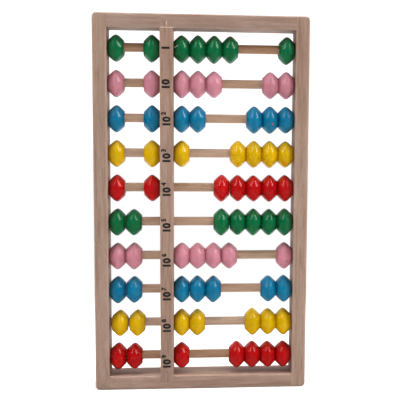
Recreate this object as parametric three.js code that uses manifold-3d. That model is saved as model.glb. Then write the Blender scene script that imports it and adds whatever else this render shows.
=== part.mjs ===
// Ten-rod counting frame (abacus) with two decks of bicone beads, standing on its short side.
// Millimetres, +Z up, X along the rods, front face towards -Y.
// The origin is in the middle of the underside.
import * as THREE from 'three';
import { mergeVertices } from 'three/addons/utils/BufferGeometryUtils.js';
import Module from 'manifold-3d';

const wasm = await Module();
wasm.setup();

// Frame
const frameWidth = 154;
const frameHeight = 271;
const frameDepth = 21;
const stileWidth = 10;
const railHeight = 10;
const cornerRadius = 3;
const cornerSegments = 4;
const fitGap = 0.3;

// Stub tenons that join the rails to the stiles
const tenonLength = 5;
const tenonHeight = 4;
const tenonDepth = 13;

// Reckoning beam, housed in both rails
const beamWidth = 9.5;
const beamCentreX = -25.2;
const housingDepth = 5;

// Rods
const rodCount = 10;
const rodPitch = 25;
const rodDiameter = 6.35;
const rodSocketDepth = 6;
const rodSegments = 16;

// Beads
const beadDiameter = 20;
const beadLength = 11.6;
const beadEndDiameter = 10.8;
const beadShoulderDiameter = 18.7;
const beadShoulderInset = 4.1;
const beadBoreDiameter = 8.4;
const beadDrop = 0.75;
const beadSegments = 16;
const lowerBeadsPerRod = 5;

// Counting state of each rod, top rod first: its paint, how many of the two upper beads rest
// at the left stile, and how many of the five lower beads rest at the beam. The optional
// standOff and pairGap are the distances left by an upper pair that is not pushed home.
const rows = [
  { paint: 'green', upperAtStile: 1, lowerAtBeam: 4 },
  { paint: 'pink', upperAtStile: 1, lowerAtBeam: 3 },
  { paint: 'blue', upperAtStile: 1, lowerAtBeam: 2 },
  { paint: 'yellow', upperAtStile: 1, lowerAtBeam: 1 },
  { paint: 'red', upperAtStile: 1, lowerAtBeam: 0 },
  { paint: 'green', upperAtStile: 2, lowerAtBeam: 0 },
  { paint: 'pink', upperAtStile: 2, lowerAtBeam: 4 },
  { paint: 'blue', upperAtStile: 2, lowerAtBeam: 3 },
  { paint: 'yellow', upperAtStile: 2, lowerAtBeam: 2, standOff: 1.7, pairGap: 1.1 },
  { paint: 'red', upperAtStile: 2, lowerAtBeam: 1 },
];

const materials = {
  beech: new THREE.MeshStandardMaterial({ color: 0xa5897a, roughness: 0.62, metalness: 0 }),
  dowel: new THREE.MeshStandardMaterial({ color: 0x9c7459, roughness: 0.5, metalness: 0 }),
  green: new THREE.MeshStandardMaterial({ color: 0x1f6b3f, roughness: 0.22, metalness: 0 }),
  pink: new THREE.MeshStandardMaterial({ color: 0xc98090, roughness: 0.24, metalness: 0 }),
  blue: new THREE.MeshStandardMaterial({ color: 0x1f7391, roughness: 0.22, metalness: 0 }),
  yellow: new THREE.MeshStandardMaterial({ color: 0xc99f12, roughness: 0.24, metalness: 0 }),
  red: new THREE.MeshStandardMaterial({ color: 0xb31d1f, roughness: 0.22, metalness: 0 }),
};

// Places worked out from the driving dimensions
const innerHalfWidth = frameWidth / 2 - stileWidth;
const beamLeft = beamCentreX - beamWidth / 2;
const beamRight = beamCentreX + beamWidth / 2;
const lowestRodZ = (frameHeight - (rodCount - 1) * rodPitch) / 2;
const rodReach = innerHalfWidth + rodSocketDepth;

const rodZ = (row) => lowestRodZ + (rodCount - 1 - row) * rodPitch;
const rowLabel = (row) => String(row + 1).padStart(2, '0');

function toSolid(geometry) {
  const bare = geometry.clone();
  bare.deleteAttribute('normal');
  bare.deleteAttribute('uv');
  const merged = mergeVertices(bare);
  return new wasm.Manifold(new wasm.Mesh({
    numProp: 3,
    vertProperties: new Float32Array(merged.attributes.position.array),
    triVerts: new Uint32Array(merged.index.array),
  }));
}

function toGeometry(solid) {
  const { vertProperties, triVerts } = solid.getMesh();
  const geometry = new THREE.BufferGeometry();
  geometry.setAttribute('position', new THREE.BufferAttribute(vertProperties, 3));
  geometry.setIndex(new THREE.BufferAttribute(triVerts, 1));
  const faceted = geometry.toNonIndexed();
  faceted.computeVertexNormals();
  return faceted;
}

// A block between two opposite corners
function block([x0, y0, z0], [x1, y1, z1]) {
  const box = new THREE.BoxGeometry(x1 - x0, y1 - y0, z1 - z0);
  box.translate((x0 + x1) / 2, (y0 + y1) / 2, (z0 + z1) / 2);
  return toSolid(box);
}

// A round bar along X
function bar(diameter, x0, x1, z) {
  const length = x1 - x0;
  const cylinder = new THREE.CylinderGeometry(diameter / 2, diameter / 2, length, rodSegments);
  cylinder.rotateZ(-Math.PI / 2);
  cylinder.translate((x0 + x1) / 2, 0, z);
  return toSolid(cylinder);
}

// The tenon at one end of a rail, or with a clearance the mortise that takes it
function tenon(side, centreZ, clearance) {
  const near = innerHalfWidth - stileWidth / 2;
  const far = innerHalfWidth + tenonLength + clearance;
  const halfHeight = tenonHeight / 2 + clearance;
  const halfDepth = tenonDepth / 2 + clearance;
  const xs = [side * near, side * far].sort((a, b) => a - b);
  return block(
    [xs[0], -halfDepth, centreZ - halfHeight],
    [xs[1], halfDepth, centreZ + halfHeight],
  );
}

// Upright side member: full height, both outer corners rounded, blind sockets for the rods.
// The outline is drawn for the right side and mirrored for the left.
function stile(side) {
  const inner = innerHalfWidth;
  const outer = frameWidth / 2;
  const outline = new THREE.Shape();
  outline.moveTo(inner, 0);
  outline.lineTo(outer - cornerRadius, 0);
  outline.absarc(outer - cornerRadius, cornerRadius, cornerRadius, -Math.PI / 2, 0, false);
  outline.lineTo(outer, frameHeight - cornerRadius);
  outline.absarc(
    outer - cornerRadius, frameHeight - cornerRadius, cornerRadius, 0, Math.PI / 2, false,
  );
  outline.lineTo(inner, frameHeight);
  outline.closePath();
  const extruded = new THREE.ExtrudeGeometry(outline, {
    depth: frameDepth, bevelEnabled: false, curveSegments: cornerSegments,
  });
  extruded.rotateX(Math.PI / 2);
  extruded.translate(0, frameDepth / 2, 0);
  const right = toSolid(extruded);
  let solid = side > 0 ? right : right.mirror([1, 0, 0]);
  const socketFar = rodReach + fitGap;
  for (let row = 0; row < rodCount; row += 1) {
    const xs = [0, side * socketFar].sort((a, b) => a - b);
    solid = solid.subtract(bar(rodDiameter + 2 * fitGap, xs[0], xs[1], rodZ(row)));
  }
  for (const centreZ of [railHeight / 2, frameHeight - railHeight / 2]) {
    solid = solid.subtract(tenon(side, centreZ, fitGap));
  }
  return solid;
}

// Short member between the stiles, with a tenon at each end and a housing for the beam
function rail(isTop) {
  const z0 = isTop ? frameHeight - railHeight : 0;
  const halfLength = innerHalfWidth - fitGap;
  const halfDepth = frameDepth / 2;
  let solid = block([-halfLength, -halfDepth, z0], [halfLength, halfDepth, z0 + railHeight]);
  for (const side of [-1, 1]) {
    solid = solid.add(tenon(side, z0 + railHeight / 2, 0));
  }
  const housingZ = isTop ? z0 : railHeight - housingDepth;
  const housing = block(
    [beamLeft - fitGap, -frameDepth, isTop ? z0 - railHeight : housingZ],
    [beamRight + fitGap, frameDepth, isTop ? housingZ + housingDepth : 2 * railHeight],
  );
  return solid.subtract(housing);
}

// Reckoning beam between the decks, drilled through for every rod
function beam() {
  const endInset = railHeight - housingDepth + fitGap;
  let solid = block(
    [beamLeft, -frameDepth / 2, endInset],
    [beamRight, frameDepth / 2, frameHeight - endInset],
  );
  for (let row = 0; row < rodCount; row += 1) {
    const drill = bar(
      rodDiameter + 2 * fitGap, beamLeft - stileWidth, beamRight + stileWidth, rodZ(row),
    );
    solid = solid.subtract(drill);
  }
  return solid;
}

// Touching beads turned about X from x = 0: two flanks and a rounded crest each, one long bore
function beadRun(count) {
  const boreRadius = beadBoreDiameter / 2;
  const endRadius = beadEndDiameter / 2;
  const shoulderRadius = beadShoulderDiameter / 2;
  const profile = [new THREE.Vector2(boreRadius, 0), new THREE.Vector2(endRadius, 0)];
  for (let bead = 0; bead < count; bead += 1) {
    const start = bead * beadLength;
    profile.push(new THREE.Vector2(shoulderRadius, start + beadShoulderInset));
    profile.push(new THREE.Vector2(beadDiameter / 2, start + beadLength / 2));
    profile.push(new THREE.Vector2(shoulderRadius, start + beadLength - beadShoulderInset));
    profile.push(new THREE.Vector2(endRadius, start + beadLength));
  }
  profile.push(new THREE.Vector2(boreRadius, count * beadLength));
  profile.push(profile[0].clone());
  const turned = new THREE.LatheGeometry(profile, beadSegments);
  turned.rotateZ(-Math.PI / 2);
  return turned;
}

const abacus = new THREE.Group();

function addMesh(parent, name, geometry, material) {
  const mesh = new THREE.Mesh(geometry, material);
  mesh.name = name;
  parent.add(mesh);
  return mesh;
}

// Beads that stay together: the left end of the run is at startX
function addBeads(parent, name, count, startX, row) {
  const mesh = addMesh(parent, name, beadRun(count), materials[rows[row].paint]);
  mesh.position.set(startX, 0, -beadDrop);
}

function addUpperBeads(parent, row) {
  const { upperAtStile, standOff = fitGap, pairGap = fitGap } = rows[row];
  const outerX = -innerHalfWidth + standOff;
  const besideOuter = outerX + beadLength + pairGap;
  const besideBeam = beamLeft - fitGap - beadLength;
  const innerX = upperAtStile === 2 ? besideOuter : besideBeam;
  addBeads(parent, `row_${rowLabel(row)}_upper_outer_bead`, 1, outerX, row);
  addBeads(parent, `row_${rowLabel(row)}_upper_inner_bead`, 1, innerX, row);
}

// Five lower beads in two groups. Where none rests at the beam, the first bead of the
// five is the one that moves on its own.
function addLowerBeads(parent, row) {
  const { lowerAtBeam } = rows[row];
  const firstCount = Math.max(lowerAtBeam, 1);
  const lastCount = lowerBeadsPerRod - firstCount;
  const lastX = innerHalfWidth - fitGap - lastCount * beadLength;
  const besideBeam = beamRight + fitGap;
  const besideLast = lastX - fitGap - beadLength;
  const firstX = lowerAtBeam === 0 ? besideLast : besideBeam;
  addBeads(parent, `row_${rowLabel(row)}_lower_beam_run`, firstCount, firstX, row);
  addBeads(parent, `row_${rowLabel(row)}_lower_stile_run`, lastCount, lastX, row);
}

addMesh(abacus, 'left_stile', toGeometry(stile(-1)), materials.beech);
addMesh(abacus, 'right_stile', toGeometry(stile(1)), materials.beech);
addMesh(abacus, 'top_rail', toGeometry(rail(true)), materials.beech);
addMesh(abacus, 'bottom_rail', toGeometry(rail(false)), materials.beech);
addMesh(abacus, 'reckoning_beam', toGeometry(beam()), materials.beech);

for (let row = 0; row < rodCount; row += 1) {
  const line = new THREE.Group();
  line.position.z = rodZ(row);
  abacus.add(line);
  const dowel = toGeometry(bar(rodDiameter, -rodReach, rodReach, 0));
  addMesh(line, `rod_${rowLabel(row)}`, dowel, materials.dowel);
  addUpperBeads(line, row);
  addLowerBeads(line, row);
}

export default abacus;
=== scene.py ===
"""Ten-rod counting frame: every visible piece and its finish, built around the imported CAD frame."""

import math
import random

import bmesh
import bpy
from mathutils import Euler, Matrix, Vector, noise


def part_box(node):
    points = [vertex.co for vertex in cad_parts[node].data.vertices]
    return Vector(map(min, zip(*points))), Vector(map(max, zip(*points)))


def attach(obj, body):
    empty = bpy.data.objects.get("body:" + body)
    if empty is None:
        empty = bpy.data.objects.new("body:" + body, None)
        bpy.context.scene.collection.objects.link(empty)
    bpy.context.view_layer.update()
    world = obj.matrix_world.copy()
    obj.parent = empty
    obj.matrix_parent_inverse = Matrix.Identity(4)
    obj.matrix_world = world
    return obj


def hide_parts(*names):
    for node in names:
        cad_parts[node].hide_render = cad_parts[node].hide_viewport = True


MM = 0.001

# Places and sizes that the CAD frame gives
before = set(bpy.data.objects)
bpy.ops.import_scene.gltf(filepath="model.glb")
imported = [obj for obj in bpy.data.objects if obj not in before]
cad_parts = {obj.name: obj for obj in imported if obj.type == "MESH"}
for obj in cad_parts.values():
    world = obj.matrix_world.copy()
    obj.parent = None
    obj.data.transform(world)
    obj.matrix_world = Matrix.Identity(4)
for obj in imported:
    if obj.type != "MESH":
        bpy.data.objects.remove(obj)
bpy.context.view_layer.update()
right_low, right_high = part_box("right_stile")
INNER = right_low.x
OUTER = right_high.x
HALF_DEPTH = right_high.y
HEIGHT = right_high.z
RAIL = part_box("bottom_rail")[1].z
BEAM_LOW, BEAM_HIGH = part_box("reckoning_beam")
ROD_LOW, ROD_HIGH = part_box("rod_01")
ROD_RADIUS = (ROD_HIGH.z - ROD_LOW.z) / 2
ROWS = 10

# Edges sharper than these angles, in degrees, stay crisp
SHARP_WOOD, SHARP_BEAD = 32, 60

# Frame members: the outer corners, then how far a rounded edge reaches on the outer sides, on
# the inner sides, along the beam and at a joint, and how long it takes to fade into a joint
CORNER = 3.0 * MM
SOFT_RIM = 1.5 * MM
EASED_RIM = 1.4 * MM
BEAM_RIM = 0.8 * MM
JOINT_RIM = 0.13 * MM
RIM_RUN = 3.0 * MM
RIM_ANGLES = tuple(math.radians(a) for a in (90, 68, 45, 22, 0))
OUTLINE_STEP = 1.5 * MM
SANDING, SANDING_RUN = 0.2, 14 * MM

# Joints and holes: the play between members, how deep the rails house the beam, and how much
# wider and deeper than the rods the sockets and the beam's holes are
JOINT_GAP = 0.04 * MM
HOUSING = 5.0 * MM
SOCKET_SLACK = 0.09 * MM
SOCKET_DEPTH_SLACK = 0.2 * MM
SOCKET_MOUTH, SOCKET_MOUTH_DEPTH = 1.15 * MM, 0.15 * MM
BEAM_HOLE_SLACK = 0.13 * MM
BEAM_HOLE_FLARE = 0.2 * MM
HOLE_SEGMENTS = 40
OVERCUT = 1 * MM

# Beads. A bead hangs BEAD_DROP below its rod's middle, and a run has settled a little towards
# what it rests at. Tilts are in degrees
BEAD_PITCH = 11.6 * MM
BEAD_LENGTH = 11.56 * MM
BEAD_RADIUS = 10.0 * MM
BORE_RADIUS = 4.2 * MM
END_RADIUS = 5.4 * MM
BEAD_DROP = 0.75 * MM
BORE_RIM = 0.45 * MM
END_RIM = 0.35 * MM
BEAD_SEGMENTS = 72
FLANK_STEPS, END_RIM_STEPS, BORE_RIM_STEPS = 15, 5, 4
SETTLE = 0.2 * MM
FREE_TILT, PACKED_TILT = 1.1, 0.7

# Rods
ROD_END_RADIUS = ROD_RADIUS - 0.5 * MM
ROD_STATIONS, ROD_SEGMENTS = 48, 48

# The printing on the beam. An exponent's size and lift, the gap between the digits and the
# thickening of the strokes are shares of the numeral's size
NUMERAL_SIZE = 7.2 * MM
EXPONENT_SIZE = 0.62
EXPONENT_LIFT = 0.42
NUMERAL_GAP = 0.12
STROKE_SPREAD = 0.055
NUMERAL_ASIDE = -0.5 * MM
INK_THICKNESS = 0.01 * MM
INK_CLEARANCE = 0.012 * MM
SPECK_RADIUS = 0.34 * MM
SPECK_DROP, SPECK_ASIDE = 10.2 * MM, -0.1 * MM
SPECK_POINTS = 20

# Squeezed-out glue at the beam's upper joint: one line across the beam and one short drip
GLUE_WIDTH, DRIP_WIDTH = 0.55 * MM, 0.4 * MM
GLUE_RISE = 0.4 * MM
DRIP_PLACE, DRIP_LOW, DRIP_HIGH = 4.8 * MM, 1.2 * MM, 4.6 * MM

# For each row, top row first: its paint, how many mm the numeral stands below the rod, and how
# brown the rod is
PAINTS = ("green", "pink", "blue", "yellow", "red") * 2
LABEL_DROP = (0.9, 0.8, 0.4, 1.6, 0.7, 1.6, 2.1, 1.8, 0.4, 2.1)
ROD_BROWNNESS = (0.95, 0.55, 0.35, 0.2, 0.55, 0.4, 0.35, 0.4, 0.1, 0.8)

COLOURS = {
    "green": (0.004, 0.145, 0.048),
    "pink": (0.58, 0.225, 0.280),
    "blue": (0.005, 0.175, 0.325),
    "yellow": (0.67, 0.405, 0.0015),
    "red": (0.475, 0.005, 0.006),
}
# The bores' bare wood, darkened further as painted shade for the dark gap under a rod
SHADED_BARE_WOOD = (0.20, 0.12, 0.07)

# Wear on single beads, by row and bead: the place from the bead's middle in mm, half the size
# in X and Z, how much it slants, and its colour
WEAR = {
    (1, 3): (-4.2, 1.0, 2.6, 0.38, 0.5, 0.80, 0.85, 0.78),
    (3, 6): (1.5, -2.9, 0.9, 1.3, 0.3, 0.30, 0.10, 0.16),
    (4, 7): (-0.5, -6.3, 1.9, 1.2, 0.0, 0.75, 0.19, 0.01),
    (5, 4): (2.0, -4.6, 0.7, 0.4, 0.2, 0.20, 0.02, 0.02),
    (7, 7): (1.1, -2.9, 1.5, 0.5, 0.15, 0.30, 0.07, 0.07),
    (2, 1): (0.9, -7.2, 0.8, 0.5, 0.0, 0.55, 0.05, 0.06),
    (8, 6): (-1.6, 3.2, 0.5, 0.9, -0.3, 0.10, 0.30, 0.42),
    (10, 3): (2.4, -3.0, 0.8, 0.4, 0.4, 0.16, 0.01, 0.01),
}
NO_WEAR = (0, 0, 0.001, 0.001, 0, 0, 0, 0)

# The tint of each frame member's beech, and the place of the one knot in the left stile
BEECH_TINTS = {
    "left_stile": (0.775, 0.755, 0.74),
    "right_stile": (0.80, 0.775, 0.755),
    "top_rail": (0.76, 0.755, 0.765),
    # The bottom rail's tint is raised as painted light, standing in for light bounced up from the floor
    "bottom_rail": (0.89, 0.88, 0.88),
    "beam": (0.79, 0.755, 0.73),
}
KNOT = (-71.6 * MM, 3.4 * MM)
KNOT_COLOUR = (0.10, 0.045, 0.02)

# The studio: how bright the white room is in front of the object and behind it, how bright the
# paint mirrors it around and behind, then the lights as name, place, width, height and radiance
ROOM_IN_FRONT = 0.10
ROOM_BEHIND = 1.2
MIRRORED_ROOM = 0.03
MIRRORED_SWEEP = 0.9
KEYS = (
    ("right_key", (1.04, -0.16, 0.76), 0.4, 0.6, 10.5),
    ("front_right_key", (1.2, -0.88, 0.77), 0.6, 0.6, 3.4),
    ("left_key", (-1.06, -0.18, 0.70), 0.35, 0.5, 8.5),
    ("top_key", (0.05, -0.12, 1.30), 1.9, 0.4, 8.5),
    ("front_fill", (-0.3, -2.2, 0.9), 1.6, 1.2, 0.15),
)
PANELS = (
    ("right_panel", (0.92, -0.10, 0.82), 0.55, 0.95, 6.0),
    ("left_panel", (-0.88, -0.24, 0.86), 0.17, 0.90, 5.0),
    ("upper_right_panel", (0.60, -0.02, 1.15), 0.3, 0.5, 4.0),
    ("upper_left_panel", (-0.60, -0.08, 1.15), 0.2, 0.4, 3.0),
    ("top_panel", (0.0, 0.42, 1.10), 1.3, 0.3, 2.0),
)

# The camera stands just left of the frame's middle and above its centre, and looks a little to
# the right and down. Its shift moves the object to the left of the picture's middle
CAMERA_PLACE = (-0.0056, -0.5419, 0.1911)
CAMERA_YAW, CAMERA_PITCH, CAMERA_ROLL = -0.0807, -0.0962, -0.0091
CAMERA_LENS, CAMERA_SENSOR = 66.6, 36
CAMERA_SHIFT = -0.134


# ---------------------------------------------------------------- meshes

def new_object(name, bm, smooth_angle=SHARP_WOOD):
    """A mesh object from a bmesh, smooth apart from edges sharper than the angle."""
    bmesh.ops.recalc_face_normals(bm, faces=bm.faces)
    mesh = bpy.data.meshes.new(name)
    bm.to_mesh(mesh)
    bm.free()
    mesh.shade_smooth()
    mesh.set_sharp_from_angle(angle=math.radians(smooth_angle))
    obj = bpy.data.objects.new(name, mesh)
    bpy.context.scene.collection.objects.link(obj)
    return obj


def add_ring(bm, x, radius, segments, centre):
    """A circle of vertices about a line along X, which passes through the centre's Y and Z."""
    turns = (2 * math.pi * i / segments for i in range(segments))
    return [
        bm.verts.new((x, centre[0] + radius * math.cos(t), centre[1] + radius * math.sin(t)))
        for t in turns
    ]


def bridge(bm, ring, other):
    """Quads between two rings of equal length."""
    count = len(ring)
    for i in range(count):
        j = (i + 1) % count
        bm.faces.new((ring[i], ring[j], other[j], other[i]))


def add_bar(bm, profile, segments, centre):
    """A solid turned from (x, radius) points, closed by flat ends."""
    rings = [add_ring(bm, x, r, segments, centre) for x, r in profile]
    for ring, other in zip(rings, rings[1:]):
        bridge(bm, ring, other)
    bm.faces.new(rings[0])
    bm.faces.new(rings[-1])


def carve(obj, cutter_bm):
    """Takes the cutter's shape out of the object, for good."""
    cutter = new_object(obj.name + "_cutter", cutter_bm)
    cut = obj.modifiers.new("cut", "BOOLEAN")
    cut.operation = "DIFFERENCE"
    cut.solver = "EXACT"
    cut.object = cutter
    graph = bpy.context.evaluated_depsgraph_get()
    carved = bpy.data.meshes.new_from_object(obj.evaluated_get(graph))
    obj.modifiers.clear()
    obj.data = carved
    bpy.data.objects.remove(cutter)
    carved.shade_smooth()
    carved.set_sharp_from_angle(angle=math.radians(SHARP_WOOD))


def densify(points, step):
    """The closed outline with extra points along its long sides. Short sides, such as those of a
    rounded corner, stay whole."""
    dense = []
    for (x0, z0), (x1, z1) in zip(points, points[1:] + points[:1]):
        length = math.hypot(x1 - x0, z1 - z0)
        parts = math.ceil(length / step) if length > 2.5 * step else 1
        for part in range(parts):
            t = part / parts
            dense.append((x0 + (x1 - x0) * t, z0 + (z1 - z0) * t))
    return dense


def inward(points):
    """For each outline point, the step that moves its two sides inward by one unit."""
    steps = []
    count = len(points)
    for i in range(count):
        before, here, after = points[i - 1], points[i], points[(i + 1) % count]
        a = Vector((here[0] - before[0], here[1] - before[1])).normalized()
        b = Vector((after[0] - here[0], after[1] - here[1])).normalized()
        na, nb = Vector((-a.y, a.x)), Vector((-b.y, b.x))
        steps.append((na + nb) / (1 + na.dot(nb)))
    return steps


def slab(name, outline, rim):
    """A frame member: an outline in X and Z, anticlockwise from the front, as deep as the frame.
    rim(x, z) is how far its rounded front and back edges reach in X and in Z there; hand sanding
    varies them a little."""
    points = densify(outline, OUTLINE_STEP)
    steps = inward(points)
    reaches = []
    for (x, z), step in zip(points, steps):
        sanding = 1 + SANDING * noise.noise(Vector((x, 0.4, z)) / SANDING_RUN)
        wide, high = (r * sanding for r in rim(x, z))
        deep = max(wide if abs(step.x) > 0.01 else 0, high if abs(step.y) > 0.01 else 0)
        reaches.append((wide * step.x, high * step.y, deep))
    layers = [(-1, a) for a in RIM_ANGLES] + [(1, a) for a in reversed(RIM_ANGLES)]
    bm = bmesh.new()
    rings = []
    for side, angle in layers:
        inset, rise = 1 - math.cos(angle), 1 - math.sin(angle)
        ring = []
        for (x, z), (wide, high, deep) in zip(points, reaches):
            y = side * (HALF_DEPTH - deep * rise)
            ring.append(bm.verts.new((x + wide * inset, y, z + high * inset)))
        rings.append(ring)
    for ring, other in zip(rings, rings[1:]):
        bridge(bm, ring, other)
    bm.faces.new(rings[0])
    bm.faces.new(rings[-1])
    return new_object(name, bm)


# ---------------------------------------------------------------- material nodes

class Graph:
    """The nodes of a material or of the world, with short ways to add and join them."""

    def __init__(self, owner):
        self.owner = owner
        owner.use_nodes = True
        self.tree = owner.node_tree
        self.tree.nodes.clear()

    def add(self, kind, inputs=(), **settings):
        node = self.tree.nodes.new(kind)
        for key, value in settings.items():
            setattr(node, key, value)
        for key, value in dict(inputs).items():
            self.put(node.inputs[key], value)
        return node

    def put(self, socket, value):
        if isinstance(value, bpy.types.NodeSocket):
            self.tree.links.new(value, socket)
        elif isinstance(value, (tuple, list)) and len(value) == 3 and socket.type == "RGBA":
            socket.default_value = (*value, 1)
        else:
            socket.default_value = value

    def math(self, operation, a, b=0.0):
        return self.add("ShaderNodeMath", {0: a, 1: b}, operation=operation).outputs[0]

    def vector(self, operation, a, b=(0, 0, 0)):
        return self.add("ShaderNodeVectorMath", {0: a, 1: b}, operation=operation).outputs[0]

    def scaled(self, vector, factor):
        inputs = {0: vector, "Scale": factor}
        return self.add("ShaderNodeVectorMath", inputs, operation="SCALE").outputs[0]

    def distance(self, a, b=(0, 0, 0)):
        node = self.add("ShaderNodeVectorMath", {0: a, 1: b}, operation="DISTANCE")
        return node.outputs["Value"]

    def noise(self, vector, scale=1.0, detail=3.0, distortion=0.0):
        inputs = {
            "Vector": vector, "Scale": scale, "Detail": detail,
            "Roughness": 0.55, "Distortion": distortion,
        }
        return self.add("ShaderNodeTexNoise", inputs).outputs["Fac"]

    def smooth(self, value, low, high, to_low=0.0, to_high=1.0):
        """Goes smoothly from to_low to to_high as the value goes from low to high, where low may
        also be the larger of the two."""
        inputs = {
            "Value": value, "From Min": low, "From Max": high,
            "To Min": to_low, "To Max": to_high,
        }
        node = self.add("ShaderNodeMapRange", inputs, interpolation_type="SMOOTHSTEP")
        return node.outputs["Result"]

    def mix(self, factor, a, b, blend="MIX"):
        node = self.add("ShaderNodeMix", data_type="RGBA", blend_type=blend)
        self.put(node.inputs[0], factor)
        self.put(node.inputs[6], a)
        self.put(node.inputs[7], b)
        return node.outputs[2]

    def bump(self, height, distance, normal=None):
        inputs = {"Height": height, "Distance": distance, "Strength": 1.0}
        node = self.add("ShaderNodeBump", inputs)
        if normal is not None:
            self.put(node.inputs["Normal"], normal)
        return node.outputs["Normal"]

    def own(self, name):
        """A number kept on the object itself."""
        return self.add("ShaderNodeAttribute", attribute_type="OBJECT", attribute_name=name)

    def finish(self, shader):
        output = self.add("ShaderNodeOutputMaterial")
        self.put(output.inputs["Surface"], shader)
        return self.owner


def along_grain(graph, axis, seed):
    """A way to stretch the object's coordinates along the grain, from a place of its own."""
    place = graph.add("ShaderNodeTexCoord").outputs["Object"]
    place = graph.vector("ADD", place, (seed * 0.731, seed * 0.417, seed * 0.913))

    def stretched(across, along):
        scale = [across] * 3
        scale[axis] = along
        return graph.vector("MULTIPLY", place, tuple(scale))

    return stretched


def normal_parts(graph, axis):
    """How much a surface faces along the grain, and how much it is a rounded edge."""
    normal = graph.add("ShaderNodeNewGeometry").outputs["Normal"]
    apart = graph.add("ShaderNodeSeparateXYZ", {0: graph.vector("ABSOLUTE", normal)})
    x, y, z = apart.outputs
    most = graph.math("MAXIMUM", graph.math("MAXIMUM", x, y), z)
    end = graph.smooth(apart.outputs[axis], 0.75, 0.95)
    edge = graph.smooth(most, 0.985, 0.80)
    return end, edge


def knot_mask(graph, x, z):
    """A pinhole knot in the front of a member."""
    place = graph.add("ShaderNodeTexCoord").outputs["Object"]
    away = graph.distance(place, (x, -HALF_DEPTH, z))
    ragged = graph.math("MULTIPLY", graph.noise(place, 1500), 0.4 * MM)
    return graph.smooth(graph.math("ADD", away, ragged), 0.85 * MM, 0.45 * MM, 0, 0.75)


def beech(name, axis, seed, tint, knot=None):
    """Pinkish beech under thin matt lacquer: long streaks, fine fibres and short dark ray flecks, with a
    painted highlight along the rounded edges.
    """
    graph = Graph(bpy.data.materials.new(name))
    stretched = along_grain(graph, axis, seed)
    end, edge = normal_parts(graph, axis)
    broad = graph.noise(stretched(70, 6), detail=2)
    streaks = graph.noise(stretched(520, 34), detail=4, distortion=0.4)
    fibres = graph.noise(stretched(1500, 110), detail=2)
    cloud = graph.noise(stretched(90, 90), detail=2)
    fleck_cells = graph.add(
        "ShaderNodeTexVoronoi", {"Vector": stretched(1500, 330), "Scale": 1.0}, feature="F1",
    ).outputs["Distance"]
    fleck_room = graph.noise(stretched(300, 80), detail=1)
    flecks = graph.math(
        "MULTIPLY", graph.smooth(fleck_cells, 0.30, 0.12), graph.smooth(fleck_room, 0.38, 0.54),
    )
    colour = graph.mix(
        graph.smooth(broad, 0.35, 0.65), (0.41, 0.262, 0.195), (0.52, 0.358, 0.28),
    )
    colour = graph.mix(graph.smooth(streaks, 0.5, 0.70, 0, 0.6), colour, (0.30, 0.178, 0.125))
    colour = graph.mix(graph.smooth(streaks, 0.5, 0.32, 0, 0.5), colour, (0.60, 0.445, 0.365))
    colour = graph.mix(graph.smooth(fibres, 0.35, 0.8, 0, 0.4), colour, (0.31, 0.18, 0.12))
    colour = graph.mix(graph.math("MULTIPLY", flecks, 0.6), colour, (0.25, 0.125, 0.075))
    colour = graph.mix(graph.smooth(cloud, 0.6, 0.75, 0, 0.2), colour, (0.45, 0.25, 0.19))
    pores = graph.noise(stretched(1300, 1300), detail=2)
    rings = graph.noise(stretched(420, 60), detail=3, distortion=0.6)
    end_colour = graph.mix(
        graph.smooth(rings, 0.35, 0.65), (0.37, 0.225, 0.155), (0.47, 0.315, 0.235),
    )
    end_colour = graph.mix(
        graph.smooth(pores, 0.55, 0.7, 0, 0.6), end_colour, (0.22, 0.12, 0.075),
    )
    colour = graph.mix(end, colour, end_colour)
    # Painted highlight: the rounded edges are mixed towards a paler colour, as where they catch the light
    colour = graph.mix(graph.math("MULTIPLY", edge, 0.3), colour, (0.62, 0.47, 0.39))
    colour = graph.mix(1.0, colour, tint, "MULTIPLY")
    if knot:
        colour = graph.mix(knot_mask(graph, *knot), colour, KNOT_COLOUR)
    height = graph.math("ADD", fibres, graph.math("MULTIPLY", flecks, -0.8))
    normal = graph.bump(height, 0.00004)
    rough = graph.smooth(streaks, 0.3, 0.7, 0.5, 0.62)
    shader = graph.add("ShaderNodeBsdfPrincipled", {
        "Base Color": colour, "Roughness": rough, "IOR": 1.45, "Normal": normal,
        "Specular IOR Level": 0.4,
    })
    return graph.finish(shader.outputs[0])


def dowel(name, seed, brown):
    """A turned hardwood rod, polished by its beads, paler or browner from rod to rod."""
    graph = Graph(bpy.data.materials.new(name))
    stretched = along_grain(graph, 0, seed + 20)
    pale, dark = Vector((0.56, 0.385, 0.275)), Vector((0.42, 0.225, 0.122))
    base = pale.lerp(dark, brown)
    streaks = graph.noise(stretched(700, 14), detail=3, distortion=0.3)
    fibres = graph.noise(stretched(2600, 70), detail=2)
    broad = graph.noise(stretched(160, 18), detail=2)
    colour = graph.mix(
        graph.smooth(streaks, 0.35, 0.75, 0, 0.5), tuple(base), tuple(base * 0.66),
    )
    colour = graph.mix(graph.smooth(broad, 0.45, 0.2, 0, 0.4), colour, tuple(base * 1.25))
    colour = graph.mix(graph.smooth(fibres, 0.45, 0.8, 0, 0.4), colour, tuple(base * 0.55))
    normal = graph.bump(fibres, 0.00004)
    rough = graph.smooth(broad, 0.3, 0.7, 0.36, 0.5)
    shader = graph.add("ShaderNodeBsdfPrincipled", {
        "Base Color": colour, "Roughness": rough, "IOR": 1.45, "Normal": normal,
    })
    return graph.finish(shader.outputs[0])


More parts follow.
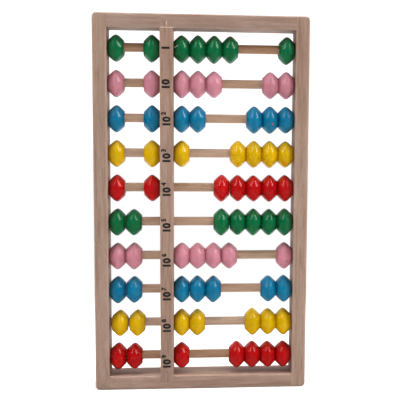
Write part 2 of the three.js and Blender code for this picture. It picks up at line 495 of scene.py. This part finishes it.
def wear_mask(graph, place, x, y, z):
    """The worn or scratched spot that the object's own numbers put on the front of the bead."""
    spot = graph.add("ShaderNodeSeparateXYZ", {0: graph.own("wear_place").outputs["Vector"]})
    size = graph.add("ShaderNodeSeparateXYZ", {0: graph.own("wear_size").outputs["Vector"]})
    across = graph.math("SUBTRACT", x, spot.outputs[0])
    up = graph.math("SUBTRACT", z, spot.outputs[1])
    up = graph.math("SUBTRACT", up, graph.math("MULTIPLY", across, spot.outputs[2]))
    across = graph.math("DIVIDE", across, size.outputs[0])
    up = graph.math("DIVIDE", up, size.outputs[1])
    away = graph.math("SQRT", graph.math(
        "ADD", graph.math("MULTIPLY", across, across), graph.math("MULTIPLY", up, up),
    ))
    ragged = graph.math("MULTIPLY", graph.noise(place, 1400, detail=2), 1.6)
    inside = graph.smooth(graph.math("ADD", away, ragged), 1.75, 1.25)
    return graph.math("MULTIPLY", inside, graph.smooth(y, 0.0, -0.5 * MM))


def bead_paint(name, base):
    """Glossy dipped paint on a turned wooden bead: lathe rings and grain show through faintly,
    the paint thins at the bore, and the bore itself is bare wood, darkened as painted shade.
    Towards the bead's ends the paint is darkened as painted shade where neighbouring beads meet."""
    graph = Graph(bpy.data.materials.new(name))
    place = graph.add("ShaderNodeTexCoord").outputs["Object"]
    shift = graph.scaled(graph.own("turn").outputs["Vector"], 0.05)
    place_own = graph.vector("ADD", place, shift)
    apart = graph.add("ShaderNodeSeparateXYZ", {0: place})
    x, y, z = apart.outputs
    radius = graph.math("SQRT", graph.math(
        "ADD", graph.math("MULTIPLY", y, y), graph.math("MULTIPLY", z, z),
    ))
    bore = graph.smooth(radius, BORE_RADIUS + BORE_RIM, BORE_RADIUS + 0.1 * MM)
    reach = graph.math("ABSOLUTE", x)
    clouds = graph.noise(place_own, 130, detail=3)
    specks = graph.noise(place_own, 900, detail=2)
    grain = graph.noise(graph.vector("MULTIPLY", place_own, (90, 800, 800)), detail=3)
    wobble = graph.noise(place_own, 160, detail=1)
    ring_phase = graph.math("ADD", graph.math("MULTIPLY", x, 9000), graph.math("MULTIPLY", wobble, 9))
    rings = graph.math("SINE", ring_phase)
    deep = tuple(c * 0.72 for c in base)
    thin = tuple(min(1, c * 1.15 + 0.0005) for c in base)
    colour = graph.mix(graph.smooth(clouds, 0.32, 0.68), deep, thin)
    colour = graph.mix(0.6, colour, base)
    colour = graph.mix(graph.smooth(grain, 0.5, 0.75, 0, 0.3), colour, deep)
    # Painted shade: the colour darkens towards the bead's ends, where neighbouring beads shade the
    # junctions between them
    painted_junction_shade = graph.smooth(reach, 3.8 * MM, BEAD_LENGTH / 2, 0, 0.8)
    colour = graph.mix(painted_junction_shade, colour, tuple(0.95 * c ** 1.5 for c in base))
    tone = graph.own("tone").outputs["Fac"]
    colour = graph.mix(graph.math("MAXIMUM", tone, 0.0), colour, thin)
    colour = graph.mix(graph.math("MAXIMUM", graph.math("MULTIPLY", tone, -1.0), 0.0), colour, deep)
    colour = graph.mix(wear_mask(graph, place, x, y, z), colour, graph.own("wear_colour").outputs["Color"])
    # The bore: bare wood darkened as painted shade, a little grained and tinted by the paint
    bare = graph.mix(graph.smooth(grain, 0.35, 0.7), SHADED_BARE_WOOD, tuple(c * 0.55 for c in SHADED_BARE_WOOD))
    bare = graph.mix(0.35, bare, base)
    colour = graph.mix(bore, colour, bare)
    rough = graph.smooth(clouds, 0.3, 0.7, 0.11, 0.17)
    rough = graph.math("ADD", rough, graph.math("MULTIPLY", bore, 0.35))
    normal = graph.bump(rings, 0.000004)
    normal = graph.bump(grain, 0.000018, normal)
    normal = graph.bump(specks, 0.000006, normal)
    shader = graph.add("ShaderNodeBsdfPrincipled", {
        "Base Color": colour, "Roughness": rough, "IOR": 1.5, "Normal": normal,
        "Specular IOR Level": 0.45,
    })
    return graph.finish(shader.outputs[0])


def ink_finish():
    """Black printing ink, a little uneven on the grain."""
    graph = Graph(bpy.data.materials.new("printing_ink"))
    place = graph.add("ShaderNodeTexCoord").outputs["Object"]
    worn = graph.noise(graph.vector("MULTIPLY", place, (1800, 1800, 300)), detail=3)
    colour = graph.mix(graph.smooth(worn, 0.6, 0.8, 0, 0.4), (0.008, 0.007, 0.007), (0.05, 0.035, 0.03))
    rough = graph.smooth(worn, 0.3, 0.7, 0.6, 0.75)
    shader = graph.add("ShaderNodeBsdfPrincipled", {"Base Color": colour, "Roughness": rough})
    return graph.finish(shader.outputs[0])


# ---------------------------------------------------------------- wooden frame

def place_on_frame(obj, material, slot, *nodes):
    """Gives the object its finish and fixes it to the frame, in place of the named CAD nodes."""
    obj.data.materials.clear()
    obj.data.materials.append(material)
    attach(obj, "frame")
    if nodes:
        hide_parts(*nodes)


def rod_height(row):
    low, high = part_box(f"rod_{row + 1:02d}")
    return (low.z + high.z) / 2


def taper(clear, rim):
    """An edge's rounding fades out on its way into a joint."""
    ease = min(max(clear / RIM_RUN, 0), 1)
    return JOINT_RIM + (rim - JOINT_RIM) * ease * (2 - ease)


def stile_rim(x, z):
    """Round all over, but for the inner edges where the rails meet them."""
    if abs(abs(x) - INNER) > 0.01 * MM:
        return SOFT_RIM, SOFT_RIM
    return taper(min(z - RAIL, HEIGHT - RAIL - z), EASED_RIM), SOFT_RIM


def stile_outline(side):
    """Full height, with the two outer corners rounded. Drawn for the right and mirrored. The two
    points CORNER away from the square corners keep the rounded edges from crossing there."""
    middle_x, steps = OUTER - CORNER, 8
    points = [(INNER, CORNER), (INNER, 0.0)]
    for step in range(steps + 1):
        turn = math.radians(-90 + 90 * step / steps)
        points.append((middle_x + CORNER * math.cos(turn), CORNER + CORNER * math.sin(turn)))
    for step in range(steps + 1):
        turn = math.radians(90 * step / steps)
        points.append((middle_x + CORNER * math.cos(turn), HEIGHT - CORNER + CORNER * math.sin(turn)))
    points += [(INNER, HEIGHT), (INNER, HEIGHT - CORNER)]
    if side < 0:
        points = [(-x, z) for x, z in reversed(points)]
    return points


def make_stile(name, side, seed, knot=None):
    """A stile with a blind socket for each rod."""
    stile = slab(name + "_wood", stile_outline(side), stile_rim)
    sockets = bmesh.new()
    radius = ROD_RADIUS + SOCKET_SLACK
    reach = ROD_HIGH.x + SOCKET_DEPTH_SLACK
    for row in range(ROWS):
        profile = [
            (side * (INNER - OVERCUT), radius + SOCKET_MOUTH),
            (side * (INNER + SOCKET_MOUTH_DEPTH), radius),
            (side * reach, radius),
        ]
        add_bar(sockets, profile, HOLE_SEGMENTS, (0.0, rod_height(row)))
    carve(stile, sockets)
    place_on_frame(stile, beech("beech_" + name, 2, seed, BEECH_TINTS[name], knot), "beech", name)


def rail_outline(is_top):
    """A rail between the stiles, with the beam's housing in its inner side. Drawn for the bottom
    and mirrored, with points CORNER away from the outer corners as on the stiles."""
    end = INNER - JOINT_GAP
    left, right = BEAM_LOW.x - JOINT_GAP, BEAM_HIGH.x + JOINT_GAP
    points = [(-end, CORNER), (-end, 0.0), (end, 0.0), (end, CORNER), (end, RAIL)]
    points += [(right, RAIL), (right, RAIL - HOUSING), (left, RAIL - HOUSING), (left, RAIL)]
    points += [(-end, RAIL)]
    if is_top:
        points = [(x, HEIGHT - z) for x, z in reversed(points)]
    return points


def rail_rim(x, z):
    """Round along the outer side, and along the inner side between the joints."""
    height = min(z, HEIGHT - z)
    if height < RAIL - HOUSING - 0.1 * MM:
        return JOINT_RIM, SOFT_RIM
    from_beam = max(BEAM_LOW.x - x, x - BEAM_HIGH.x)
    inner = taper(min(INNER - abs(x), from_beam), EASED_RIM) if height > RAIL - 0.1 * MM else JOINT_RIM
    return JOINT_RIM, inner


def beam_rim(x, z):
    """Lightly eased along the beam's length, and crisp where the rails house it."""
    return taper(min(z - RAIL, HEIGHT - RAIL - z), BEAM_RIM), JOINT_RIM


def make_rail(name, is_top, seed):
    rail = slab(name + "_wood", rail_outline(is_top), rail_rim)
    place_on_frame(rail, beech("beech_" + name, 0, seed, BEECH_TINTS[name]), "beech", name)


def make_beam(seed):
    """The reckoning beam, housed in both rails and drilled through for the rods."""
    low = RAIL - HOUSING + JOINT_GAP
    outline = [
        (BEAM_LOW.x, low), (BEAM_HIGH.x, low), (BEAM_HIGH.x, HEIGHT - low), (BEAM_LOW.x, HEIGHT - low),
    ]
    beam = slab("reckoning_beam_wood", outline, beam_rim)
    holes = bmesh.new()
    radius, flare = ROD_RADIUS + BEAM_HOLE_SLACK, BEAM_HOLE_FLARE
    for row in range(ROWS):
        profile = [
            (BEAM_LOW.x - OVERCUT, radius + flare + OVERCUT), (BEAM_LOW.x + flare, radius),
            (BEAM_HIGH.x - flare, radius), (BEAM_HIGH.x + OVERCUT, radius + flare + OVERCUT),
        ]
        add_bar(holes, profile, HOLE_SEGMENTS, (0.0, rod_height(row)))
    carve(beam, holes)
    place_on_frame(beam, beech("beech_beam", 2, seed, BEECH_TINTS["beam"]), "beech", "reckoning_beam")


def make_ink_speck(ink):
    """A stray dot of ink below the lowest numeral."""
    bm = bmesh.new()
    ring = []
    for i in range(SPECK_POINTS):
        turn = 2 * math.pi * i / SPECK_POINTS
        radius = SPECK_RADIUS * (1 + 0.25 * math.sin(2 * turn + 0.6) + 0.12 * math.sin(5 * turn))
        ring.append(Vector((radius * math.cos(turn), 0, 0.9 * radius * math.sin(turn))))
    middle = (BEAM_LOW.x + BEAM_HIGH.x) / 2 + SPECK_ASIDE
    spot = Vector((middle, -HALF_DEPTH, rod_height(ROWS - 1) - SPECK_DROP))
    back = [bm.verts.new(spot + step) for step in ring]
    front = [bm.verts.new(spot + step + Vector((0, -2 * INK_THICKNESS, 0))) for step in ring]
    bridge(bm, back, front)
    bm.faces.new(back)
    bm.faces.new(front)
    place_on_frame(new_object("ink_speck", bm), ink, "ink")


def dried_glue():
    """Pale, slightly see-through glue that has dried on the wood."""
    graph = Graph(bpy.data.materials.new("dried_glue"))
    place = graph.add("ShaderNodeTexCoord").outputs["Object"]
    cloud = graph.noise(place, 900, detail=2)
    colour = graph.mix(cloud, (0.62, 0.46, 0.36), (0.80, 0.66, 0.55))
    shader = graph.add("ShaderNodeBsdfPrincipled", {
        "Base Color": colour, "Roughness": 0.35, "Normal": graph.bump(cloud, 0.00005),
    })
    return graph.finish(shader.outputs[0])


def make_glue(name, start, end, width, bulge, material):
    """A thin ragged bead of squeezed-out glue on the frame's front, thicker at its end."""
    (x0, z0), (x1, z1) = start, end
    length, stations, sides = math.hypot(x1 - x0, z1 - z0), 28, 10
    along = Vector(((x1 - x0) / length, 0, (z1 - z0) / length))
    across = Vector((-along.z, 0, along.x))
    bm = bmesh.new()
    rings = []
    for station in range(stations + 1):
        share = station / stations
        ragged = 1 + 0.9 * noise.noise(Vector((share * 9, x0 * 900, z0 * 90)))
        ends = math.sqrt(max(1 - (2 * share - 1) ** 8, 0.02))
        radius = width / 2 * ragged * ends * (1 + bulge * max(0, share - 0.85) / 0.15)
        drift = 0.25 * width * noise.noise(Vector((share * 5, 3.3, z0 * 90)))
        middle = Vector((x0, -HALF_DEPTH, z0)) + along * length * share + across * drift
        ring = []
        for i in range(sides):
            turn = 2 * math.pi * i / sides
            out = Vector((0, -0.35 * radius * math.sin(turn), 0))
            ring.append(bm.verts.new(middle + across * radius * math.cos(turn) + out))
        rings.append(ring)
    for ring, other in zip(rings, rings[1:]):
        bridge(bm, ring, other)
    bm.faces.new(rings[0])
    bm.faces.new(rings[-1])
    place_on_frame(new_object(name, bm), material, "beech")


def make_joint_glue():
    """The glue squeezed out where the beam enters the top rail."""
    glue = dried_glue()
    joint_z = HEIGHT - RAIL + GLUE_RISE
    left = (BEAM_LOW.x + 0.6 * MM, joint_z)
    right = (BEAM_HIGH.x + 0.9 * MM, joint_z - 0.3 * MM)
    make_glue("glue_across_beam", left, right, GLUE_WIDTH, 1.0, glue)
    drip_x = BEAM_LOW.x + DRIP_PLACE
    low, high = (drip_x, joint_z + DRIP_LOW), (drip_x, joint_z + DRIP_HIGH)
    make_glue("glue_drip", low, high, DRIP_WIDTH, 0.0, glue)


def make_rod(row):
    """A dowel from socket to socket, with a bow too slight to bind a bead."""
    rng = random.Random(500 + row)
    bow_y, bow_z = rng.uniform(-0.1, 0.1) * MM, rng.uniform(-0.1, 0.06) * MM
    reach = ROD_HIGH.x
    bm = bmesh.new()
    rings = []
    for station in range(ROD_STATIONS + 1):
        share = station / ROD_STATIONS
        x = -reach + 2 * reach * share
        bend = math.sin(math.pi * share)
        swell = 1 + 0.008 * noise.noise(Vector((x / (20 * MM), row * 3.7, 0)))
        centre = (bow_y * bend, rod_height(row) + bow_z * bend)
        rings.append(add_ring(bm, x, ROD_RADIUS * swell, ROD_SEGMENTS, centre))
    centre = (0.0, rod_height(row))
    first = add_ring(bm, -reach, ROD_END_RADIUS, ROD_SEGMENTS, centre)
    last = add_ring(bm, reach, ROD_END_RADIUS, ROD_SEGMENTS, centre)
    rings = [first] + rings + [last]
    for ring, other in zip(rings, rings[1:]):
        bridge(bm, ring, other)
    bm.faces.new(first)
    bm.faces.new(last)
    name = f"dowel_{row + 1:02d}"
    wood = dowel(name, row, ROD_BROWNNESS[row])
    place_on_frame(new_object(name, bm), wood, "dowel", f"rod_{row + 1:02d}")


# ---------------------------------------------------------------- beads

def bead_profile(radius, length, crest):
    """The closed section of a bead as (x, r) points. Each flank falls from a rounded crest to the
    end's rim, and the ends and the bore have softened rims."""
    half = length / 2
    fall = (radius - END_RADIUS) / (math.hypot(half, crest) - crest)

    def flank(x):
        return radius - fall * (math.hypot(x, crest) - crest)

    right = [(step / FLANK_STEPS) ** 1.35 * (half - END_RIM) for step in range(FLANK_STEPS)]
    side = [(x, flank(x)) for x in right]
    start, corner = (half - END_RIM, flank(half - END_RIM)), (half, flank(half))
    stop = (half, END_RADIUS - END_RIM)
    for step in range(END_RIM_STEPS + 1):
        t = step / END_RIM_STEPS
        side.append((
            (1 - t) ** 2 * start[0] + 2 * t * (1 - t) * corner[0] + t * t * stop[0],
            (1 - t) ** 2 * start[1] + 2 * t * (1 - t) * corner[1] + t * t * stop[1],
        ))
    for step in range(BORE_RIM_STEPS + 1):
        turn = math.pi / 2 * step / BORE_RIM_STEPS
        side.append((
            half - BORE_RIM + BORE_RIM * math.cos(turn),
            BORE_RADIUS + BORE_RIM - BORE_RIM * math.sin(turn),
        ))
    return side + [(-x, r) for x, r in reversed(side[1:])]


def add_bead(name, rng):
    """One turned bead about its own X axis, a little out of true as turned beads are."""
    crest = rng.uniform(1.9, 2.7) * MM
    radius = BEAD_RADIUS * rng.uniform(0.965, 1.01)
    length = BEAD_LENGTH * rng.uniform(0.99, 1.0)
    oval, oval_turn = rng.uniform(0, 0.008), rng.uniform(0, math.pi)
    lean = rng.uniform(-0.12, 0.12) * MM
    spin = rng.uniform(0, math.pi)
    bm = bmesh.new()
    profile = bead_profile(radius, length, crest)
    rings = []
    for x, r in profile:
        ring = []
        share = (r - BORE_RADIUS) / (radius - BORE_RADIUS)
        for i in range(BEAD_SEGMENTS):
            turn = 2 * math.pi * (i + spin) / BEAD_SEGMENTS
            wide = r * (1 + share * oval * math.cos(2 * (turn - oval_turn)))
            shift = lean * share * math.cos(turn - oval_turn)
            ring.append(bm.verts.new((x + shift, wide * math.cos(turn), wide * math.sin(turn))))
        rings.append(ring)
    for ring, other in zip(rings, rings[1:] + rings[:1]):
        bridge(bm, ring, other)
    return new_object(name, bm, SHARP_BEAD)


def settled(node, low, high):
    """How far a run has slid up to the wood or to the beads that it rests at."""
    if "upper_inner" in node:
        moves_right = BEAM_LOW.x - high.x < 1 * MM
    elif "beam_run" in node:
        moves_right = low.x - BEAM_HIGH.x > 1 * MM
    else:
        moves_right = "stile_run" in node
    return SETTLE if moves_right else -SETTLE


def hang(obj, x, row, rng, free):
    """Rests the bead on its rod through the loose bore, tilted a little as a hanging bead is."""
    most = FREE_TILT if free else PACKED_TILT
    tilt = math.radians(rng.uniform(-most, most))
    swing = math.radians(rng.uniform(-most, most))
    drop = BEAD_DROP + rng.uniform(-0.12, 0.02) * MM
    aside = rng.uniform(-0.12, 0.12) * MM
    obj.location = (x, aside, rod_height(row) - drop)
    obj.rotation_euler = Euler((0, tilt, swing), "XYZ")


def make_beads(row, paint):
    """The row's seven beads, left to right, each riding on the CAD run that it belongs to."""
    number = 0
    prefix = f"row_{row + 1:02d}_"
    suffixes = ("upper_outer_bead", "upper_inner_bead", "lower_beam_run", "lower_stile_run")
    for suffix in suffixes:
        node = prefix + suffix
        low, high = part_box(node)
        count = round((high.x - low.x) / BEAD_PITCH)
        for place in range(count):
            number += 1
            rng = random.Random(1000 * (row + 1) + number)
            bead = add_bead(f"bead_{row + 1:02d}_{number}", rng)
            x = low.x + (place + 0.5) * BEAD_PITCH + settled(node, low, high)
            hang(bead, x, row, rng, count == 1)
            bead["tone"] = rng.uniform(-0.25, 0.25)
            bead["turn"] = [rng.uniform(-9, 9) for _ in range(3)]
            place_x, place_z, wide, high, slope, *tint = WEAR.get((row + 1, number), NO_WEAR)
            bead["wear_place"] = [place_x * MM, place_z * MM, slope]
            bead["wear_size"] = [wide * MM, high * MM, 0.0]
            bead["wear_colour"] = tint
            bead.data.materials.append(paint)
            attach(bead, node)
            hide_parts(node)


# ---------------------------------------------------------------- printing

def text_mesh(body, size, thickness):
    """A text as a thin plate in its own XY plane, with slightly thickened strokes."""
    curve = bpy.data.curves.new("numeral", "FONT")
    curve.body = body
    curve.size = size
    curve.extrude = thickness
    curve.offset = STROKE_SPREAD * size
    curve.resolution_u = 4
    obj = bpy.data.objects.new("numeral", curve)
    bpy.context.scene.collection.objects.link(obj)
    graph = bpy.context.evaluated_depsgraph_get()
    mesh = bpy.data.meshes.new_from_object(obj.evaluated_get(graph))
    bpy.data.objects.remove(obj)
    return mesh


def make_numeral(row, ink):
    """The value of the row's beads, as a power of ten, reading up the beam's front."""
    parts = [("1" if row == 0 else "10", NUMERAL_SIZE, 0.0)]
    if row > 1:
        parts.append((str(row), NUMERAL_SIZE * EXPONENT_SIZE, NUMERAL_SIZE * EXPONENT_LIFT))
    bm = bmesh.new()
    pen = 0.0
    for body, height, lift in parts:
        mesh = text_mesh(body, height, INK_THICKNESS)
        xs = [v.co.x for v in mesh.vertices]
        mesh.transform(Matrix.Translation((pen - min(xs), lift, 0)))
        bm.from_mesh(mesh)
        pen += max(xs) - min(xs) + NUMERAL_GAP * NUMERAL_SIZE
    xs = [v.co.x for v in bm.verts]
    ys = [v.co.y for v in bm.verts]
    bm.transform(Matrix.Translation((-(min(xs) + max(xs)) / 2, -(min(ys) + max(ys)) / 2, 0)))
    bmesh.ops.remove_doubles(bm, verts=bm.verts, dist=1e-7)
    numeral = new_object(f"numeral_{row + 1:02d}", bm)
    stand = Matrix.Rotation(math.pi / 2, 4, "X")
    upward = Matrix.Rotation(math.pi / 2, 4, "Z")
    middle = (BEAM_LOW.x + BEAM_HIGH.x) / 2 + NUMERAL_ASIDE
    spot = Vector((middle, -HALF_DEPTH - INK_CLEARANCE, rod_height(row) - LABEL_DROP[row] * MM))
    numeral.data.transform(Matrix.Translation(spot) @ stand @ upward)
    place_on_frame(numeral, ink, "ink")


# ---------------------------------------------------------------- studio

def floor_finish():
    """Pale and plain. Away from the object it turns to pure white, so no horizon shows."""
    graph = Graph(bpy.data.materials.new("floor"))
    place = graph.add("ShaderNodeTexCoord").outputs["Object"]
    distance = graph.distance(place)
    path = graph.add("ShaderNodeLightPath")
    seen, mirrored = path.outputs["Is Camera Ray"], path.outputs["Is Glossy Ray"]
    apart = graph.add("ShaderNodeSeparateXYZ", {0: place})
    behind = graph.math("MULTIPLY", mirrored, graph.smooth(apart.outputs[1], 0.0, 0.4))
    shade = graph.mix(seen, (0.8, 0.8, 0.8), (0.95, 0.95, 0.95))
    in_front = graph.math("MULTIPLY", mirrored, graph.smooth(apart.outputs[1], 0.3, 0.0))
    shade = graph.mix(in_front, shade, (0.06, 0.06, 0.06))
    near = graph.add("ShaderNodeBsdfDiffuse", {"Color": shade})
    white = graph.add("ShaderNodeEmission", {"Color": (1, 1, 1), "Strength": 1.0})
    far = graph.math("MULTIPLY", graph.smooth(distance, 0.09, 0.35), graph.math("MAXIMUM", seen, behind))
    blend = graph.add("ShaderNodeMixShader", {0: far})
    graph.put(blend.inputs[1], near.outputs[0])
    graph.put(blend.inputs[2], white.outputs[0])
    return graph.finish(blend.outputs[0])


def make_floor():
    bm = bmesh.new()
    bmesh.ops.create_grid(bm, x_segments=8, y_segments=8, size=6)
    floor = new_object("floor", bm)
    floor.data.materials.append(floor_finish())


def make_world():
    """A white sweep behind the object, and a dim room in front of it and above."""
    world = bpy.data.worlds.new("studio")
    bpy.context.scene.world = world
    graph = Graph(world)
    path = graph.add("ShaderNodeLightPath")
    way = graph.add("ShaderNodeTexCoord").outputs["Generated"]
    apart = graph.add("ShaderNodeSeparateXYZ", {0: way})
    behind = graph.smooth(apart.outputs[1], 0.3, 0.8)
    low = graph.smooth(apart.outputs[2], 0.70, 0.25)
    sweep = graph.math("MULTIPLY", behind, low)
    mirrored = graph.smooth(sweep, 0.0, 1.0, MIRRORED_ROOM, MIRRORED_SWEEP)
    strength = graph.add("ShaderNodeMix", data_type="FLOAT")
    graph.put(strength.inputs[0], path.outputs["Is Glossy Ray"])
    graph.put(strength.inputs[2], graph.smooth(apart.outputs[1], -0.4, 0.6, ROOM_IN_FRONT, ROOM_BEHIND))
    graph.put(strength.inputs[3], mirrored)
    seen = graph.math("MAXIMUM", strength.outputs[0], path.outputs["Is Camera Ray"])
    background = graph.add("ShaderNodeBackground", {"Color": (1, 1, 1), "Strength": seen})
    output = graph.add("ShaderNodeOutputWorld")
    graph.put(output.inputs["Surface"], background.outputs[0])


def add_softbox(name, place, width, height, radiance, lights=True, mirrored=True):
    """A soft light panel of a given brightness, facing the object. It may light without being
    mirrored, or the other way round."""
    light = bpy.data.lights.new(name, "AREA")
    light.shape = "RECTANGLE"
    light.size = width
    light.size_y = height
    light.energy = radiance * math.pi * width * height
    obj = bpy.data.objects.new(name, light)
    obj.location = place
    facing = Vector((0, 0, HEIGHT / 2)) - Vector(place)
    obj.rotation_euler = facing.to_track_quat("-Z", "Y").to_euler()
    obj.visible_diffuse = lights
    obj.visible_glossy = mirrored
    bpy.context.scene.collection.objects.link(obj)


def make_lights():
    """Keys that light the object without being mirrored, and panels that are only mirrored."""
    for key in KEYS:
        add_softbox(*key, mirrored=False)
    for panel in PANELS:
        add_softbox(*panel, lights=False)


def make_camera():
    data = bpy.data.cameras.new("camera")
    data.sensor_width = CAMERA_SENSOR
    data.lens = CAMERA_LENS
    data.shift_x = CAMERA_SHIFT
    camera = bpy.data.objects.new("camera", data)
    level = Matrix.Rotation(math.pi / 2 + CAMERA_PITCH, 4, "X")
    turn = Matrix.Rotation(CAMERA_YAW, 4, "Z") @ level @ Matrix.Rotation(-CAMERA_ROLL, 4, "Z")
    camera.matrix_world = Matrix.Translation(CAMERA_PLACE) @ turn
    bpy.context.scene.collection.objects.link(camera)
    bpy.context.scene.camera = camera


# ---------------------------------------------------------------- assembly

bpy.context.scene.view_settings.view_transform = "Standard"
make_camera()
make_world()
make_lights()
make_floor()

ink = ink_finish()
paints = {paint: bead_paint("glossy_" + paint, base) for paint, base in COLOURS.items()}

make_stile("left_stile", -1, 1, KNOT)
make_stile("right_stile", 1, 2)
make_rail("top_rail", True, 3)
make_rail("bottom_rail", False, 4)
make_beam(5)
make_ink_speck(ink)
make_joint_glue()
for row in range(ROWS):
    make_rod(row)
    make_beads(row, paints[PAINTS[row]])
    make_numeral(row, ink)
